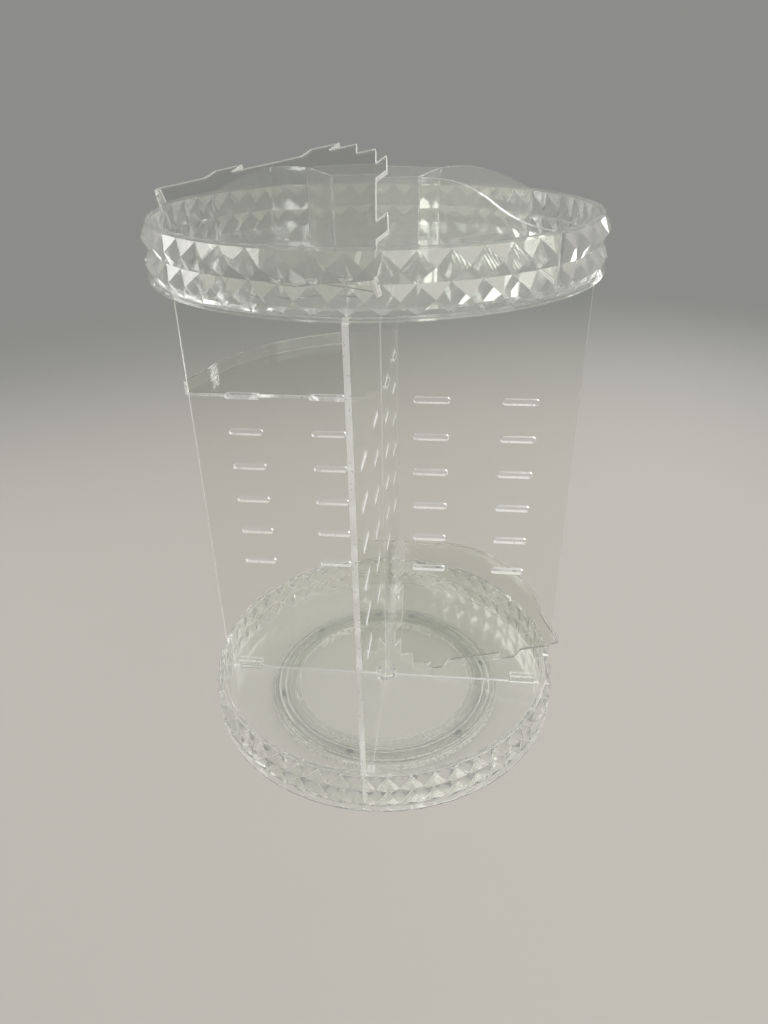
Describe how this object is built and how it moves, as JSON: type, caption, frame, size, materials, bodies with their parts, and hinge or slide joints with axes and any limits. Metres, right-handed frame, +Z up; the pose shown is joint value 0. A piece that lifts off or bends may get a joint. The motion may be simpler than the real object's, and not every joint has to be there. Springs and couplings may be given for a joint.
{
  "type": "rotating bathroom organizer",
  "caption": "Clear round organizer on a ball-race turntable: faceted base and top trays, crossed slotted panels and quarter shelves that hook into the slots.",
  "frame": {"origin": "on the table under the axis of rotation", "axes": "+X along the main panel to the right, +Y along the cross panel to the back, +Z up along the axis of rotation"},
  "size_m": [0.2361, 0.2353, 0.3507],
  "materials": {
    "clear_tray": "clear, gloss, faceted",
    "clear_panel": "clear, gloss",
    "frosted_ring": "clear, slightly hazy",
    "steel": "polished balls",
    "rubber": "soft, matte"
  },
  "bodies": {
    "foot": {"turntable_foot_ring": "frosted_ring", "foot_pad_1": "rubber", "foot_pad_2": "rubber", "foot_pad_3": "rubber", "foot_pad_4": "rubber", "foot_pad_5": "rubber", "foot_pad_6": "rubber"},
    "cage": {"ball_cage": "frosted_ring", "ball_1": "steel", "ball_2": "steel", "ball_3": "steel", "ball_4": "steel", "ball_5": "steel", "ball_6": "steel"},
    "carousel": {"turntable_top_ring": "frosted_ring", "base_tray": "clear_tray", "main_panel": "clear_panel", "cross_panel": "clear_panel"},
    "hooked_shelf": {"upper_shelf": "clear_panel"},
    "loose_shelf": {"lower_shelf": "clear_panel"},
    "top": {"top_tray": "clear_tray"},
    "spare": {"spare_shelf": "clear_panel"}
  },
  "joints": [
    {"name": "carousel_spin", "type": "hinge", "parent": "foot", "child": "carousel", "pos_m": [0, 0, 0], "axis": [0, 0, 1], "continuous": true},
    {"name": "cage_spin", "type": "hinge", "parent": "foot", "child": "cage", "pos_m": [0, 0, 0], "axis": [0, 0, 1], "continuous": true},
    {"name": "upper_shelf_pull", "type": "slide", "parent": "carousel", "child": "hooked_shelf", "axis": [-0.7071, 0.7071, 0], "range_m": [0, 0.12]},
    {"name": "lower_shelf_pull", "type": "slide", "parent": "carousel", "child": "loose_shelf", "axis": [0.6474, 0.6474, 0.4023], "range_m": [0, 0.12]},
    {"name": "top_tray_lift", "type": "slide", "parent": "carousel", "child": "top", "axis": [0, 0, 1], "range_m": [0, 0.06]},
    {"name": "spare_shelf_lift", "type": "slide", "parent": "top", "child": "spare", "axis": [0, 0, 1], "range_m": [0, 0.05]}
  ],
  "couplings": [
    {"joint": "cage_spin", "follows": "carousel_spin", "ratio": 0.5}
  ]
}
